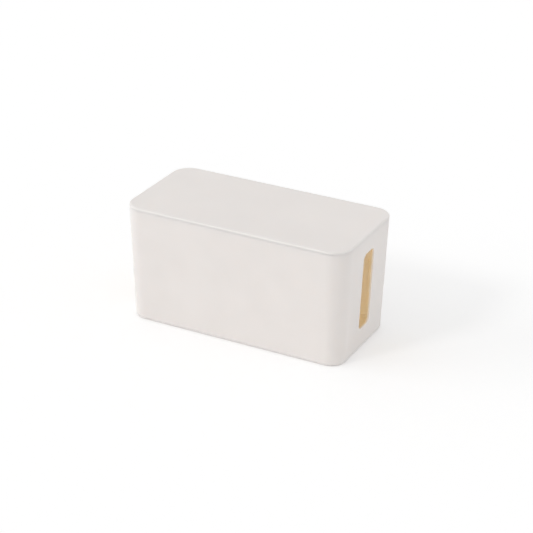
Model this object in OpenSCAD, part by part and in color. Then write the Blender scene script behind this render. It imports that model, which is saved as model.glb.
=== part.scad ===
// Cable management box: a drafted, round-cornered tub with a cable slot in each end,
// a flush lift-off lid that a skirt holds in place, and four rubber feet.
// Millimetres, +Z up. X runs along the box, and -Y is the long front face.
// The origin is on the surface that the box stands on, under its middle.

/* [Box] */
// Length of the closed box at its top edge
length = 235; // [200:1:320]
// Width of the closed box at its top edge
width = 115; // [100:0.5:140]
// Height of the closed box, with its feet
height = 120; // [90:1:150]
// Radius of the four upright corners at the top edge
corner_r = 19; // [14:0.5:26]
// Lean of every outer and inner wall, so that the mouldings leave their tools
draft = 2.1; // [1:0.1:3]

/* [Tub] */
// Thickness of the tub's walls
wall = 2.2; // [1.8:0.1:3]
// Thickness of the tub's floor
floor_t = 2.4; // [2:0.1:3.2]
// Radius of the tub's lower outer edge
base_edge_r = 1.6; // [1:0.1:3.4]
// Radius between the walls and the floor, inside
floor_fillet_r = 3; // [1.5:0.5:5]

/* [Cable slots] */
// Width of each slot
slot_w = 23; // [16:0.5:32]
// Height of each slot
slot_h = 79.5; // [50:0.5:86]
// Height of the slot's lower edge over the tub's underside
slot_sill = 20.5; // [14:0.5:30]
// Radius of the slot's corners
slot_corner_r = 6; // [2:0.5:8]
// Radius that softens the slot's outer edge
slot_edge_r = 0.6; // [0.3:0.1:0.9]

/* [Lid] */
// Height of the lid's visible edge
lid_edge = 2.8; // [2.4:0.1:4]
// Thickness of the lid's plate
lid_t = 2.2; // [1.8:0.1:2.4]
// Radius of the lid's upper edge
lid_edge_r = 1.8; // [0.8:0.1:2]
// Depth of the skirt that stands inside the tub
skirt_depth = 6; // [4:0.5:10]
// Thickness of the skirt at its root
skirt_t = 1.8; // [1.4:0.1:2.4]
// Gap between the skirt and the tub's wall
skirt_gap = 0.4; // [0.3:0.05:0.6]
// Gap between the locating beads and the tub's wall
bead_gap = 0.12; // [0.1:0.01:0.2]
// Cross ribs under the lid
cross_ribs = 5; // [3:2:7]

/* [Feet] */
// Diameter of a rubber foot
foot_d = 14; // [10:0.5:18]
// How far a foot stands proud of the tub's underside
foot_proud = 1; // [0.8:0.1:3]
// Depth of the recess that holds a foot
foot_seat = 0.8; // [0.5:0.1:1]

/* [Hidden] */
$fn = 64;

shell_white = [0.91, 0.89, 0.87];
rubber_grey = [0.32, 0.32, 0.33];

// Levels
base_z = foot_proud;
floor_z = base_z + floor_t;
rim_z = height - lid_edge;
slot_z = base_z + slot_sill + slot_h / 2;
plate_z = height - lid_t;

// Upright axes that the corners turn about
axis_x = length / 2 - corner_r;
axis_y = width / 2 - corner_r;

// How far a cutter runs past what it cuts, and a rib or bead into what carries it
over = 1;
root = 0.4;

// Small edges of the two mouldings
seam_chamfer = 0.15;
lead_in = 0.6;
skirt_tip_chamfer = 0.5;
skirt_tip_t = skirt_t - 0.4;
skirt_fillet_r = 1;

// Stiffening ribs under the lid
rib_root_t = 1.5;
rib_tip_t = 1;
rib_depth = 3;
long_rib_y = width / 5;

// Locating beads on the skirt
bead_r = 0.8;
bead_drop = 0.8;
bead_x = 0.6 * axis_x;
bead_y = 0.55 * axis_y;

// Feet
foot_inset = 27;
foot_x = length / 2 - foot_inset;
foot_y = width / 2 - foot_inset;
foot_edge_r = 0.7;
foot_play = 0.1;

// Marks of the gate and of the ejector pins
gate_r = 3.5;
gate_depth = 0.5;
gate_stub_r = 1;
gate_stub_h = 0.35;
ejector_r = 3;
ejector_depth = 0.2;

// Distance from a corner's axis to the outer wall at height z
function outer_u(z) = corner_r - (height - z) * tan(draft);

// Distance from a corner's axis to the inner wall at height z
function inner_u(z) = outer_u(z) - wall / cos(draft);

// Distance from a corner's axis to the skirt's outer face at height z
function skirt_u(z) = inner_u(z) - skirt_gap / cos(draft);

// Centre, at height z, of a circle of radius r that touches a wall leaning at u
function touching_centre(u, z, r) = [u - r / cos(draft), z];

// Where that circle touches the wall
function touch_point(centre, r) = centre + r * [cos(draft), -sin(draft)];

// Carries a section round a rounded rectangle whose corner axes stand at +-ax, +-ay.
// The section's x is the distance out from a corner's axis and its y is the height.
module carried_round(ax, ay) {
    for (turn = [0, 180])
        rotate([0, 0, turn]) {
            translate([ax, ay, 0])
                rotate_extrude(angle = 90)
                    children();
            translate([-ax, ay, 0])
                rotate([0, 0, 90])
                    rotate_extrude(angle = 90)
                        children();
            translate([-ax, ay, 0])
                rotate([90, 0, 90])
                    linear_extrude(2 * ax)
                        children();
            translate([ax, ay, 0])
                rotate([90, 0, 0])
                    linear_extrude(2 * ay)
                        children();
        }
}

// Slab between the four corner axes, which fills the middle of a carried section
module middle_slab(ax, ay, low, high) {
    translate([-ax, -ay, low])
        cube([2 * ax, 2 * ay, high - low]);
}

// Puts its children at both end walls, at height z and square to the leaning wall:
// their x runs across the wall, their y up it and their z out of it.
module at_end_walls(z) {
    for (turn = [0, 180])
        rotate([0, 0, turn])
            translate([axis_x + outer_u(z), 0, z])
                rotate([0, draft, 0])
                    rotate([90, 0, 90])
                        children();
}

// Section of the tub's outside, from a corner's axis outwards
module tub_outer_section() {
    level = base_z + base_edge_r;
    centre = touching_centre(outer_u(level), level, base_edge_r);
    polygon([
        [0, base_z],
        [centre.x, base_z],
        touch_point(centre, base_edge_r),
        [outer_u(rim_z - seam_chamfer), rim_z - seam_chamfer],
        [outer_u(rim_z) - seam_chamfer, rim_z],
        [0, rim_z]
    ]);
    translate(centre)
        circle(base_edge_r);
}

// Section of the space inside the tub, with the rim's lead-in
module tub_cavity_section() {
    level = floor_z + floor_fillet_r;
    centre = touching_centre(inner_u(level), level, floor_fillet_r);
    polygon([
        [-over, floor_z],
        [centre.x, floor_z],
        touch_point(centre, floor_fillet_r),
        [inner_u(rim_z - lead_in), rim_z - lead_in],
        [inner_u(rim_z) + lead_in, rim_z],
        [inner_u(rim_z) + lead_in, rim_z + over],
        [-over, rim_z + over]
    ]);
    translate(centre)
        circle(floor_fillet_r);
}

// Section of a slot's cutter: straight through the wall, then flared round its outer edge
module slot_section() {
    flare_r = slot_corner_r + slot_edge_r;
    difference() {
        polygon([
            [0, -wall - over],
            [slot_corner_r, -wall - over],
            [slot_corner_r, -slot_edge_r],
            [flare_r, -slot_edge_r],
            [flare_r, over],
            [0, over]
        ]);
        translate([flare_r, -slot_edge_r])
            circle(slot_edge_r);
    }
}

// Opening for cables in each end wall
module cable_slots() {
    ax = slot_w / 2 - slot_corner_r;
    ay = slot_h / 2 - slot_corner_r;
    at_end_walls(slot_z) {
        carried_round(ax, ay)
            slot_section();
        middle_slab(ax, ay, -wall - over, over);
    }
}

// Shallow ring round the point where the tub was filled, with the cut stub in it
module gate_mark() {
    translate([0, 0, base_z - over])
        difference() {
            cylinder(r = gate_r, h = over + gate_depth);
            translate([0, 0, over + gate_depth - gate_stub_h])
                cylinder(r = gate_stub_r, h = gate_stub_h + over);
        }
}

module tub() {
    color(shell_white)
        difference() {
            union() {
                carried_round(axis_x, axis_y)
                    difference() {
                        tub_outer_section();
                        tub_cavity_section();
                    }
                middle_slab(axis_x, axis_y, base_z, floor_z);
            }
            cable_slots();
            gate_mark();
            for (sx = [-1, 1], sy = [-1, 1]) {
                translate([sx * foot_x, sy * foot_y, base_z - over])
                    cylinder(r = foot_d / 2 + foot_play, h = over + foot_seat);
                translate([sx * foot_x, sy * foot_y, floor_z - ejector_depth])
                    cylinder(r = ejector_r, h = ejector_depth + over);
            }
        }
}

// Section of the lid's edge: plate, skirt, seat on the tub's rim and rounded upper edge
module lid_section() {
    tip_z = rim_z - skirt_depth;
    level = height - lid_edge_r;
    centre = touching_centre(outer_u(level), level, lid_edge_r);
    root_u = skirt_u(rim_z) - skirt_t;
    difference() {
        translate([root_u - skirt_fillet_r, plate_z - skirt_fillet_r])
            square([skirt_fillet_r + root, skirt_fillet_r + root]);
        translate([root_u - skirt_fillet_r, plate_z - skirt_fillet_r])
            circle(skirt_fillet_r);
    }
    polygon([
        [0, plate_z],
        [root_u, plate_z],
        [skirt_u(tip_z) - skirt_tip_t, tip_z],
        [skirt_u(tip_z) - skirt_tip_chamfer, tip_z],
        [skirt_u(tip_z + skirt_tip_chamfer), tip_z + skirt_tip_chamfer],
        [skirt_u(rim_z), rim_z],
        [outer_u(rim_z) - seam_chamfer, rim_z],
        [outer_u(rim_z + seam_chamfer), rim_z + seam_chamfer],
        touch_point(centre, lid_edge_r),
        [centre.x, height],
        [0, height]
    ]);
    translate(centre)
        intersection() {
            circle(lid_edge_r);
            translate([-root, -root])
                square(lid_edge_r + over);
        }
}

// Tapered rib under the lid's plate, centred and running along X
module rib(len) {
    translate([-len / 2, 0, plate_z])
        rotate([90, 0, 90])
            linear_extrude(len)
                polygon([
                    [-rib_root_t / 2, root],
                    [rib_root_t / 2, root],
                    [rib_root_t / 2, 0],
                    [rib_tip_t / 2, -rib_depth],
                    [-rib_tip_t / 2, -rib_depth],
                    [-rib_root_t / 2, 0]
                ]);
}

// Two ribs along the lid and an odd number across it, ending in the skirt
module ribs() {
    reach = skirt_u(rim_z) - skirt_t + root;
    for (sy = [-1, 1])
        translate([0, sy * long_rib_y, 0])
            rib(2 * (axis_x + reach));
    for (i = [0 : cross_ribs - 1])
        translate([(i - (cross_ribs - 1) / 2) * rib_pitch(), 0, 0])
            rotate([0, 0, 90])
                rib(2 * (axis_y + reach));
}

function rib_pitch() = 2 * (axis_x + skirt_u(rim_z)) / (cross_ribs + 1);

// Upright bead on the skirt's outer face, facing +X, that takes up the play in the tub
module bead() {
    stand_off = skirt_gap - bead_gap;
    bead_len = skirt_depth - bead_drop;
    rotate([0, draft, 0])
        translate([stand_off - bead_r, 0, -bead_len])
            cylinder(r = bead_r, h = bead_len + root);
}

module beads() {
    reach = skirt_u(rim_z);
    for (turn = [0, 180], side = [-1, 1])
        rotate([0, 0, turn]) {
            translate([axis_x + reach, side * bead_y, rim_z])
                bead();
            translate([side * bead_x, axis_y + reach, rim_z])
                rotate([0, 0, 90])
                    bead();
        }
}

module lid() {
    color(shell_white)
        difference() {
            union() {
                carried_round(axis_x, axis_y)
                    lid_section();
                middle_slab(axis_x, axis_y, plate_z, height);
                ribs();
                beads();
            }
            for (sx = [-1, 1], sy = [-1, 1])
                translate([sx * 1.5 * rib_pitch(), sy * (long_rib_y + axis_y) / 2, plate_z - over])
                    cylinder(r = ejector_r, h = over + ejector_depth);
        }
}

// Rubber pad that is glued into its recess; sx and sy are the signs of its corner
module foot(sx, sy) {
    r = foot_d / 2;
    color(rubber_grey)
        translate([sx * foot_x, sy * foot_y, 0])
            rotate_extrude() {
                polygon([
                    [0, 0],
                    [r - foot_edge_r, 0],
                    [r, foot_edge_r],
                    [r, foot_proud + foot_seat],
                    [0, foot_proud + foot_seat]
                ]);
                translate([r - foot_edge_r, foot_edge_r])
                    circle(foot_edge_r);
            }
}

tub();
lid();
foot(-1, -1);  // foot_front_left
foot(1, -1);  // foot_front_right
foot(-1, 1);  // foot_rear_left
foot(1, 1);  // foot_rear_right
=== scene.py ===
from math import cos, radians, sin, tan, tau

import bpy
from mathutils import Matrix, Vector


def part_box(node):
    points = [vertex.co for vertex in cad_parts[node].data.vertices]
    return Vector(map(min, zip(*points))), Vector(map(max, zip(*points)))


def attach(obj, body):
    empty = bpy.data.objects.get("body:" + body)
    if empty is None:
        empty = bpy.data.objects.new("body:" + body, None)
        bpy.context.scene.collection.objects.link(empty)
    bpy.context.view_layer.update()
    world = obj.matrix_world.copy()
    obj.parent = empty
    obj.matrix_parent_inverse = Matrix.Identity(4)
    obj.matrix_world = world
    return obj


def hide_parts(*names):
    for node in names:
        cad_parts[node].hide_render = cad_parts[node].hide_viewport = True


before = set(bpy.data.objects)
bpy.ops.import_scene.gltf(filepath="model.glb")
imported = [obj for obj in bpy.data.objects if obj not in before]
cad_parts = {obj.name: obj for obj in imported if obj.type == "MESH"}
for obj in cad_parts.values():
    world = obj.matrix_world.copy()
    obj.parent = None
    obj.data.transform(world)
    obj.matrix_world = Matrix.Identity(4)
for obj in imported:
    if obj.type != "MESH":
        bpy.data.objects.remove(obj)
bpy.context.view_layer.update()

scene = bpy.context.scene
scene.view_settings.view_transform = "Standard"

# ------------------------------------------------------------------ Camera
# A long lens 1.67 m away looks down on the front right corner. It is held a little
# askew and aims a few millimetres beside the middle of the box, as the photograph does.
camera_azimuth, camera_elevation, askew = radians(27.27), radians(25.85), radians(0.70)
distance = 1.672
focal_length_mm = 116.67
aim_right, aim_up = 0.0081, -0.0024


def direction_from_box(azimuth, elevation):
    """Unit vector from the box, turned from the front face towards the right end, and up."""
    return Vector((sin(azimuth) * cos(elevation), -cos(azimuth) * cos(elevation), sin(elevation)))


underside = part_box("tub")[0].z
lid_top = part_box("lid")[1].z
box_middle = Vector((0, 0, (underside + lid_top) / 2))

towards_camera = direction_from_box(camera_azimuth, camera_elevation)
level_right = Vector((cos(camera_azimuth), sin(camera_azimuth), 0))
level_up = towards_camera.cross(level_right)
image_right = level_right * cos(askew) + level_up * sin(askew)
image_up = level_up * cos(askew) - level_right * sin(askew)
aim = box_middle + image_right * aim_right + image_up * aim_up

camera = bpy.data.objects.new("camera", bpy.data.cameras.new("camera"))
scene.collection.objects.link(camera)
camera.data.lens = focal_length_mm
camera_turn = Matrix((image_right, image_up, towards_camera)).transposed().to_4x4()
camera.matrix_world = Matrix.Translation(aim + towards_camera * distance) @ camera_turn
scene.camera = camera


# ------------------------------------------------------------------- Floor
# A wide sheet of white card. It takes the box's soft shadow, and the camera, gloss and
# glass see it a little brighter than it lights the box, so that it runs into the white behind.
def link_inputs(tree, node, values):
    """Feeds a node's inputs in their order, each from a socket or with a plain value."""
    for socket, value in zip(node.inputs, values):
        if isinstance(value, bpy.types.NodeSocket):
            tree.links.new(value, socket)
        elif value is not None:
            socket.default_value = value


def calculate(tree, operation, *values):
    """Math node in any tree; returns its result."""
    node = tree.nodes.new("ShaderNodeMath")
    node.operation = operation
    link_inputs(tree, node, values)
    return node.outputs[0]


def seen_directly(tree):
    """1 for a ray from the camera or off gloss or through glass, and 0 for light on its way."""
    path = tree.nodes.new("ShaderNodeLightPath")
    glossy, through_glass = path.outputs["Is Glossy Ray"], path.outputs["Is Transmission Ray"]
    sharp = calculate(tree, "MAXIMUM", glossy, through_glass)
    return calculate(tree, "MAXIMUM", path.outputs["Is Camera Ray"], sharp)


def blend_numbers(tree, share, first, second):
    """Number that goes from first to second as share goes from 0 to 1."""
    node = tree.nodes.new("ShaderNodeMix")
    link_inputs(tree, node, (share, None, first, second))
    return node.outputs["Result"]


floor_size = 24
card_white_for_light = 0.96
card_white_for_camera = 1.0
card_lift = 0.125

bpy.ops.mesh.primitive_plane_add(size=floor_size)
floor = bpy.context.object
floor.name = "floor"
card = bpy.data.materials.new("white_card")
card.use_nodes = True
tree = card.node_tree
tree.nodes.clear()
matt = tree.nodes.new("ShaderNodeBsdfDiffuse")
lift = tree.nodes.new("ShaderNodeEmission")
together = tree.nodes.new("ShaderNodeAddShader")
output = tree.nodes.new("ShaderNodeOutputMaterial")
seen = seen_directly(tree)
card_white = blend_numbers(tree, seen, card_white_for_light, card_white_for_camera)
tree.links.new(card_white, matt.inputs["Color"])
tree.links.new(calculate(tree, "MULTIPLY", seen, card_lift), lift.inputs["Strength"])
tree.links.new(matt.outputs[0], together.inputs[0])
tree.links.new(lift.outputs[0], together.inputs[1])
tree.links.new(together.outputs[0], output.inputs["Surface"])
floor.data.materials.append(card)

# ------------------------------------------------------------------- Light
# A white room lights the box from all sides. A wide soft lamp stands low on the far left,
# and a small one nearer the camera draws the bright line along the lid's edge. Light that
# gets in through the slots and the thin walls settles only after many bounces.
room_light = 0.77
room_seen = 1.0
bounces_inside = 64

world = bpy.data.worlds.new("white_room")
world.use_nodes = True
scene.world = world
tree = world.node_tree
background = tree.nodes["Background"]
background.inputs["Color"].default_value = (1, 1, 1, 1)
brightness = blend_numbers(tree, seen_directly(tree), room_light, room_seen)
tree.links.new(brightness, background.inputs["Strength"])
scene.cycles.diffuse_bounces = bounces_inside
scene.cycles.max_bounces = bounces_inside


def soft_lamp(name, azimuth_deg, elevation_deg, width_deg, strength):
    """Distant lamp in a direction as seen from the box; its width softens the shadow."""
    lamp = bpy.data.objects.new(name, bpy.data.lights.new(name, "SUN"))
    scene.collection.objects.link(lamp)
    lamp.data.angle = radians(width_deg)
    lamp.data.energy = strength
    towards_lamp = direction_from_box(radians(azimuth_deg), radians(elevation_deg))
    lamp.rotation_euler = (-towards_lamp).to_track_quat("-Z", "Y").to_euler()


soft_lamp("window_lamp", azimuth_deg=-64, elevation_deg=12, width_deg=45, strength=0.66)
soft_lamp("edge_lamp", azimuth_deg=-31, elevation_deg=36, width_deg=12, strength=0.32)


# --------------------------------------------------------------------- Tub
# One injection moulding in satin white plastic, drawn off its core straight up. Outside,
# the tool has a fine spark-eroded grain. Inside, the core is plainer and the resin shows
# its own ivory, which light turns tan as it bounces about in the closed box.
def new_group(name, inputs, outputs):
    """Shader node group with float inputs {name: value} and float outputs."""
    group = bpy.data.node_groups.new(name, "ShaderNodeTree")
    for label, value in inputs.items():
        socket = group.interface.new_socket(label, in_out="INPUT", socket_type="NodeSocketFloat")
        socket.default_value = value
    for label in outputs:
        group.interface.new_socket(label, in_out="OUTPUT", socket_type="NodeSocketFloat")
    given = group.nodes.new("NodeGroupInput")
    result = group.nodes.new("NodeGroupOutput")
    return group, given.outputs, result.inputs


def place_group(tree, group, **values):
    """Puts a group in a material's tree with its own values; returns its outputs."""
    node = tree.nodes.new("ShaderNodeGroup")
    node.node_tree = group
    for label, value in values.items():
        node.inputs[label.replace("_", " ").capitalize()].default_value = value
    return node.outputs


def object_place(tree):
    """Object coordinates, in metres."""
    return tree.nodes.new("ShaderNodeTexCoord").outputs["Object"]


def noise(tree, size, detail=2.0, place=None):
    """Noise from 0 to 1 whose features are about size metres across."""
    node = tree.nodes.new("ShaderNodeTexNoise")
    tree.links.new(place or object_place(tree), node.inputs["Vector"])
    tree.links.new(calculate(tree, "DIVIDE", 1.0, size), node.inputs["Scale"])
    node.inputs["Detail"].default_value = detail
    return node.outputs["Fac"]


def ramp_between(tree, value, low, high, first=0.0, second=1.0):
    """Smooth step from first to second as value goes from low to high."""
    node = tree.nodes.new("ShaderNodeMapRange")
    node.interpolation_type = "SMOOTHSTEP"
    link_inputs(tree, node, (value, low, high, first, second))
    return node.outputs["Result"]


def beyond_axis(tree, coordinate, axis):
    """How far a point lies outside a corner's axis along one coordinate, or 0 inside it."""
    distance_out = calculate(tree, "SUBTRACT", calculate(tree, "ABSOLUTE", coordinate), axis)
    return calculate(tree, "MAXIMUM", 0.0, distance_out)


# How deep a point lies under the box's outer skin, from the rule that gives the skin:
# a rounded rectangle whose corner radius shrinks downwards, because the walls lean.
skin_depth, given, result = new_group(
    "depth_under_skin",
    {"Axis x": 0.1, "Axis y": 0.04, "Radius": 0.02, "Lean": 0.037, "Top": 0.12, "Base": 0.0},
    ["Depth"],
)
point = skin_depth.nodes.new("ShaderNodeSeparateXYZ")
skin_depth.links.new(object_place(skin_depth), point.inputs[0])
beyond_x = beyond_axis(skin_depth, point.outputs["X"], given["Axis x"])
beyond_y = beyond_axis(skin_depth, point.outputs["Y"], given["Axis y"])
square_y = calculate(skin_depth, "MULTIPLY", beyond_y, beyond_y)
squares = calculate(skin_depth, "MULTIPLY_ADD", beyond_x, beyond_x, square_y)
below_top = calculate(skin_depth, "SUBTRACT", given["Top"], point.outputs["Z"])
shrunk_by = calculate(skin_depth, "MULTIPLY", below_top, given["Lean"])
radius_here = calculate(skin_depth, "SUBTRACT", given["Radius"], shrunk_by)
under_wall = calculate(skin_depth, "SUBTRACT", radius_here, calculate(skin_depth, "SQRT", squares))
above_base = calculate(skin_depth, "SUBTRACT", point.outputs["Z"], given["Base"])
under_ends = calculate(skin_depth, "MINIMUM", below_top, above_base)
nearest = calculate(skin_depth, "MINIMUM", under_wall, under_ends)
skin_depth.links.new(nearest, result["Depth"])

# Fine grain that the tool's spark-eroded face leaves, over slow waves from cooling. The tone
# follows the waves, and the grain's hollows also get a little painted shade in it.
moulded_grain, given, result = new_group(
    "moulded_grain",
    {"Grain size": 0.0004, "Wave size": 0.03, "Wave share": 0.5},
    ["Height", "Tone and hollow shade", "Waves"],
)
fine_grain = noise(moulded_grain, given["Grain size"], detail=3.0)
slow_waves = noise(moulded_grain, given["Wave size"], detail=1.0)
height = calculate(moulded_grain, "MULTIPLY_ADD", slow_waves, given["Wave share"], fine_grain)
tone_and_hollow_shade = blend_numbers(moulded_grain, given["Wave share"], fine_grain, slow_waves)
for label, value in (("Height", height), ("Tone and hollow shade", tone_and_hollow_shade), ("Waves", slow_waves)):
    moulded_grain.links.new(value, result[label])

# Faint upright streaks, where the wall dragged on the core as it was drawn off.
draw_marks, given, result = new_group(
    "draw_marks", {"Mark size": 0.0008, "Stretch": 0.04}, ["Marks"]
)
flattened = draw_marks.nodes.new("ShaderNodeCombineXYZ")
link_inputs(draw_marks, flattened, (1.0, 1.0, given["Stretch"]))
along_draw = draw_marks.nodes.new("ShaderNodeVectorMath")
along_draw.operation = "MULTIPLY"
link_inputs(draw_marks, along_draw, (object_place(draw_marks), flattened.outputs[0]))
long_streaks = noise(draw_marks, given["Mark size"], detail=3.0, place=along_draw.outputs[0])
draw_marks.links.new(long_streaks, result["Marks"])

# Edges that hands and cloths have polished a little, in patches. The agreement is between
# the surface's normal and one that is rounded over Width: 1 on a flat face, less at an edge.
flat_agreement, edge_agreement = 0.995, 0.90
patch_starts, patch_full = 0.35, 0.65
worn_edges, given, result = new_group(
    "worn_edges", {"Width": 0.0008, "Patch size": 0.006}, ["Wear"]
)
rounded = worn_edges.nodes.new("ShaderNodeBevel")
worn_edges.links.new(given["Width"], rounded.inputs["Radius"])
shape = worn_edges.nodes.new("ShaderNodeNewGeometry")
agreement = worn_edges.nodes.new("ShaderNodeVectorMath")
agreement.operation = "DOT_PRODUCT"
link_inputs(worn_edges, agreement, (rounded.outputs["Normal"], shape.outputs["Normal"]))
edge = ramp_between(worn_edges, agreement.outputs["Value"], flat_agreement, edge_agreement)
patch_noise = noise(worn_edges, given["Patch size"])
in_patches = ramp_between(worn_edges, patch_noise, patch_starts, patch_full)
worn_edges.links.new(calculate(worn_edges, "MULTIPLY", edge, in_patches), result["Wear"])


def srgb(red, green, blue):
    """Linear colour, with alpha, of an 8-bit screen colour."""
    parts = (value / 255 for value in (red, green, blue))
    return (*(p / 12.92 if p <= 0.04045 else ((p + 0.055) / 1.055) ** 2.4 for p in parts), 1)


def blend_colours(tree, share, first, second):
    """Colour that goes from first to second as share goes from 0 to 1."""
    node = tree.nodes.new("ShaderNodeMix")
    node.data_type = "RGBA"
    sockets = {s.identifier: s for s in node.inputs}
    for name, value in (("Factor_Float", share), ("A_Color", first), ("B_Color", second)):
        if isinstance(value, bpy.types.NodeSocket):
            tree.links.new(value, sockets[name])
        else:
            sockets[name].default_value = value
    return next(s for s in node.outputs if s.identifier == "Result_Color")


# The box's outline at the level of the lid's top, from which the skin's depth is taken
box_length, box_width = 0.235, 0.115
corner_radius = 0.019
draft = radians(2.1)
box_outline = {
    "axis_x": box_length / 2 - corner_radius,
    "axis_y": box_width / 2 - corner_radius,
    "radius": corner_radius,
    "lean": tan(draft),
    "top": lid_top,
    "base": underside,
}

# What tub and lid share: the depths between which the white skin gives way to the ivory
# of the core side, that side's colours and roughness, and how far light strays in the resin
skin_starts, skin_ends = 0.0008, 0.0019
ivories = (srgb(253.9, 251.2, 243.5), srgb(254.1, 251.6, 244.3))
core_roughness = (0.76, 0.84)
light_reach = 0.0015

# Noise gathers round 0.5: nearly all of it lies between these
noise_low, noise_high = 0.3, 0.7


def shell_plastic(name, whites, roughness, grain, grain_depth, marks, wear, shine):
    """Satin white moulded plastic outside, and its matt ivory core side within the skin."""
    material = bpy.data.materials.new(name)
    material.use_nodes = True
    tree = material.node_tree
    plastic = tree.nodes["Principled BSDF"]
    depth = place_group(tree, skin_depth, **box_outline)["Depth"]
    inside = ramp_between(tree, depth, skin_starts, skin_ends)
    surface = place_group(tree, moulded_grain, **grain)
    streaks = place_group(tree, draw_marks, **marks)["Marks"]
    polished = place_group(tree, worn_edges, **wear)["Wear"]

    # The white is darker where the slow waves run low, and darker again in the grain's hollows as
    # painted shade
    outer_colour = blend_colours(tree, surface["Tone and hollow shade"], *whites)
    inner_colour = blend_colours(tree, streaks, *ivories)
    colour = blend_colours(tree, inside, outer_colour, inner_colour)
    tree.links.new(colour, plastic.inputs["Base Color"])

    unworn_rough = ramp_between(tree, surface["Waves"], noise_low, noise_high, *roughness)
    smoothed_by = calculate(tree, "MULTIPLY", polished, shine)
    outer_rough = calculate(tree, "SUBTRACT", unworn_rough, smoothed_by)
    inner_rough = ramp_between(tree, streaks, noise_low, noise_high, *core_roughness)
    rough = blend_numbers(tree, inside, outer_rough, inner_rough)
    tree.links.new(rough, plastic.inputs["Roughness"])

    bump = tree.nodes.new("ShaderNodeBump")
    bump.inputs["Distance"].default_value = grain_depth
    relief = blend_numbers(tree, inside, surface["Height"], streaks)
    tree.links.new(relief, bump.inputs["Height"])
    tree.links.new(bump.outputs["Normal"], plastic.inputs["Normal"])
    plastic.inputs["Subsurface Weight"].default_value = 1.0
    plastic.inputs["Subsurface Radius"].default_value = (1, 1, 1)
    plastic.inputs["Subsurface Scale"].default_value = light_reach
    return material


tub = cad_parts["tub"]
tub.data.materials[0] = shell_plastic(
    "tub_plastic",
    whites=(srgb(231, 227, 224), srgb(241, 237, 234.5)),
    roughness=(0.33, 0.37),
    grain={"grain_size": 0.0004, "wave_size": 0.03, "wave_share": 0.5},
    grain_depth=0.00005,
    marks={"mark_size": 0.0008, "stretch": 0.04},
    wear={"width": 0.0008, "patch_size": 0.006},
    shine=0.04,
)

# --------------------------------------------------------------------- Lid
# The second moulding, in the same resin from another tool: its grain is a little finer and
# its flat top took longer to cool, in broader waves. It rests on the tub's rim, held by its
# own weight and by the skirt that stands inside the rim.
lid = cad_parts["lid"]
lid.data.materials[0] = shell_plastic(
    "lid_plastic",
    whites=(srgb(231, 226.8, 223.8), srgb(241, 236.8, 233.8)),
    roughness=(0.32, 0.36),
    grain={"grain_size": 0.00035, "wave_size": 0.045, "wave_share": 0.5},
    grain_depth=0.00005,
    marks={"mark_size": 0.0012, "stretch": 0.04},
    wear={"width": 0.001, "patch_size": 0.006},
    shine=0.04,
)


# -------------------------------------------------------------------- Feet
# Four pads of grey synthetic rubber, moulded hot and glued into shallow seats under the
# tub. Rings in the underside grip the table, and the soft edge lets a pad leave its mould.
def combine(tree, *parts):
    """Vector from three numbers or sockets."""
    node = tree.nodes.new("ShaderNodeCombineXYZ")
    link_inputs(tree, node, parts)
    return node.outputs[0]


def geometry_step(tree, kind, *values, **settings):
    """Geometry node of a kind with its inputs in order and its settings; returns its outputs."""
    node = tree.nodes.new("GeometryNode" + kind)
    for name, value in settings.items():
        setattr(node, name, value)
    link_inputs(tree, node, values)
    return node.outputs


# Points nearer than this are one point, and an edge with a face on each side is closed
same_point = 0.000001
faces_at_closed_edge = 2
full_turn, half_turn, quarter_turn = tau, tau / 2, tau / 4


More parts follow.
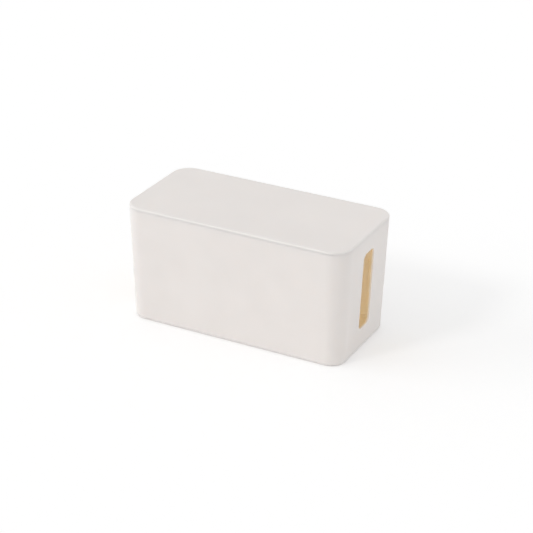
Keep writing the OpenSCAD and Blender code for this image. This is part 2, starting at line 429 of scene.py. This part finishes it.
def ringed_pad_tree():
    """Geometry Nodes for a closed rubber pad that stands on z = 0 of its place."""
    tree = bpy.data.node_groups.new("ringed_pad", "GeometryNodeTree")
    tree.interface.new_socket("Geometry", in_out="OUTPUT", socket_type="NodeSocketGeometry")
    for label, kind in (
        ("Radius", "Float"),
        ("Height", "Float"),
        ("Edge radius", "Float"),
        ("Ring depth", "Float"),
        ("Ring pitch", "Float"),
        ("Ring steepness", "Float"),
        ("Plain border", "Float"),
        ("Steps out", "Int"),
        ("Steps round", "Int"),
        ("Place", "Vector"),
        ("Material", "Material"),
    ):
        tree.interface.new_socket(label, in_out="INPUT", socket_type="NodeSocket" + kind)
    given = tree.nodes.new("NodeGroupInput").outputs
    radius, edge_radius = given["Radius"], given["Edge radius"]

    # A unit square: its X becomes the way out from the middle, and its Y the way round,
    # clockwise from above, so that the underside looks down
    points_round = calculate(tree, "ADD", given["Steps round"], 1)
    square = geometry_step(tree, "MeshGrid", 1.0, 1.0, given["Steps out"], points_round)["Mesh"]
    corner = tree.nodes.new("ShaderNodeSeparateXYZ")
    tree.links.new(tree.nodes.new("GeometryNodeInputPosition").outputs[0], corner.inputs[0])
    outward, onward = corner.outputs["X"], corner.outputs["Y"]
    swing = calculate(tree, "MULTIPLY_ADD", outward, quarter_turn, quarter_turn / 2)
    around = calculate(tree, "MULTIPLY_ADD", onward, -full_turn, half_turn)
    out = calculate(tree, "MULTIPLY", radius, calculate(tree, "SINE", swing))

    # Rings as far as the plain border, and a quarter round where the underside meets the side
    wave_angle = calculate(tree, "MULTIPLY", out, full_turn)
    wave_angle = calculate(tree, "DIVIDE", wave_angle, given["Ring pitch"])
    wave = calculate(tree, "MULTIPLY", calculate(tree, "SINE", wave_angle), given["Ring steepness"])
    groove = calculate(tree, "MINIMUM", calculate(tree, "MAXIMUM", wave, 0.0), 1.0)
    ringed_radius = calculate(tree, "SUBTRACT", radius, given["Plain border"])
    in_border = calculate(tree, "LESS_THAN", ringed_radius, out)
    ringed = calculate(tree, "SUBTRACT", 1, in_border)
    ring_depth = calculate(tree, "MULTIPLY", given["Ring depth"], ringed)
    flat_radius = calculate(tree, "SUBTRACT", radius, edge_radius)
    past_flat = calculate(tree, "MAXIMUM", calculate(tree, "SUBTRACT", out, flat_radius), 0.0)
    share_round = calculate(tree, "DIVIDE", past_flat, edge_radius)
    drop = calculate(tree, "COSINE", calculate(tree, "ARCSINE", share_round))
    rise = calculate(tree, "MULTIPLY", edge_radius, calculate(tree, "SUBTRACT", 1, drop))
    sole_point = combine(
        tree,
        calculate(tree, "MULTIPLY", out, calculate(tree, "COSINE", around)),
        calculate(tree, "MULTIPLY", out, calculate(tree, "SINE", around)),
        calculate(tree, "MULTIPLY_ADD", groove, ring_depth, rise),
    )
    sole = geometry_step(tree, "SetPosition", square, None, sole_point)[0]
    sole = geometry_step(tree, "MergeByDistance", sole, None, same_point)[0]

    # The side rises from the underside's open edge, and a disc closes the top
    faces_beside = tree.nodes.new("GeometryNodeInputMeshEdgeNeighbors").outputs[0]
    open_edge = calculate(tree, "LESS_THAN", faces_beside, faces_at_closed_edge)
    side_height = calculate(tree, "SUBTRACT", given["Height"], edge_radius)
    side_up = combine(tree, None, None, side_height)
    walled = geometry_step(tree, "ExtrudeMesh", sole, open_edge, side_up, mode="EDGES")["Mesh"]
    disc = geometry_step(tree, "MeshCircle", given["Steps round"], radius, fill_type="NGON")[0]
    top = geometry_step(tree, "Transform", disc, combine(tree, None, None, given["Height"]))[0]
    joined = tree.nodes.new("GeometryNodeJoinGeometry")
    for part in (walled, top):
        tree.links.new(part, joined.inputs[0])
    closed = geometry_step(tree, "MergeByDistance", joined.outputs[0], None, same_point)[0]
    placed = geometry_step(tree, "Transform", closed, given["Place"])[0]
    real = geometry_step(tree, "RealizeInstances", placed)[0]
    finished = geometry_step(tree, "SetMaterial", real, None, given["Material"])[0]
    tree.links.new(finished, tree.nodes.new("NodeGroupOutput").inputs[0])
    return tree


# Values of the slow waves between which the bloom sets in
bloom_starts, bloom_full = 0.4, 0.65


def pad_rubber(name, greys, roughness, grain, grain_depth, wear, shine):
    """Matt rubber with a pale bloom in patches, and lands and edges that the table has rubbed."""
    material = bpy.data.materials.new(name)
    material.use_nodes = True
    tree = material.node_tree
    rubber = tree.nodes["Principled BSDF"]
    surface = place_group(tree, moulded_grain, **grain)
    rubbed = place_group(tree, worn_edges, **wear)["Wear"]
    deep_grey, bloom_grey, rubbed_grey = greys
    bloom = ramp_between(tree, surface["Waves"], bloom_starts, bloom_full)
    mottled = blend_colours(tree, bloom, deep_grey, bloom_grey)
    tree.links.new(blend_colours(tree, rubbed, mottled, rubbed_grey), rubber.inputs["Base Color"])
    rough = calculate(tree, "SUBTRACT", roughness, calculate(tree, "MULTIPLY", rubbed, shine))
    tree.links.new(rough, rubber.inputs["Roughness"])
    bump = tree.nodes.new("ShaderNodeBump")
    bump.inputs["Distance"].default_value = grain_depth
    tree.links.new(surface["Height"], bump.inputs["Height"])
    tree.links.new(bump.outputs["Normal"], rubber.inputs["Normal"])
    return material


foot_rubber = pad_rubber(
    "foot_rubber",
    greys=(srgb(66, 66, 68), srgb(84, 83, 82), srgb(104, 102, 99)),
    roughness=0.82,
    grain={"grain_size": 0.0002, "wave_size": 0.004, "wave_share": 0.5},
    grain_depth=0.00003,
    wear={"width": 0.0003, "patch_size": 0.003},
    shine=0.2,
)
pad_tree = ringed_pad_tree()
pad_sizes = {
    "Edge radius": 0.0007,
    "Ring depth": 0.00025,
    "Ring pitch": 0.0014,
    "Ring steepness": 2.5,
    "Plain border": 0.0016,
    "Steps out": 72,
    "Steps round": 96,
    "Material": foot_rubber,
}
for foot_name in [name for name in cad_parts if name.startswith("foot")]:
    low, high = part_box(foot_name)
    seat = {
        "Radius": (high.x - low.x) / 2,
        "Height": high.z - low.z,
        "Place": ((low.x + high.x) / 2, (low.y + high.y) / 2, low.z),
    }
    pad = bpy.data.objects.new(foot_name + "_pad", bpy.data.meshes.new(foot_name + "_pad"))
    scene.collection.objects.link(pad)
    shaped = pad.modifiers.new("shaped", "NODES")
    shaped.node_group = pad_tree
    for socket in pad_tree.interface.items_tree:
        if socket.in_out == "INPUT":
            shaped[socket.identifier] = {**pad_sizes, **seat}[socket.name]
    pad_now = pad.evaluated_get(bpy.context.evaluated_depsgraph_get())
    pad.data = bpy.data.meshes.new_from_object(pad_now)
    pad.modifiers.clear()
    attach(pad, "base")
    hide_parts(foot_name)
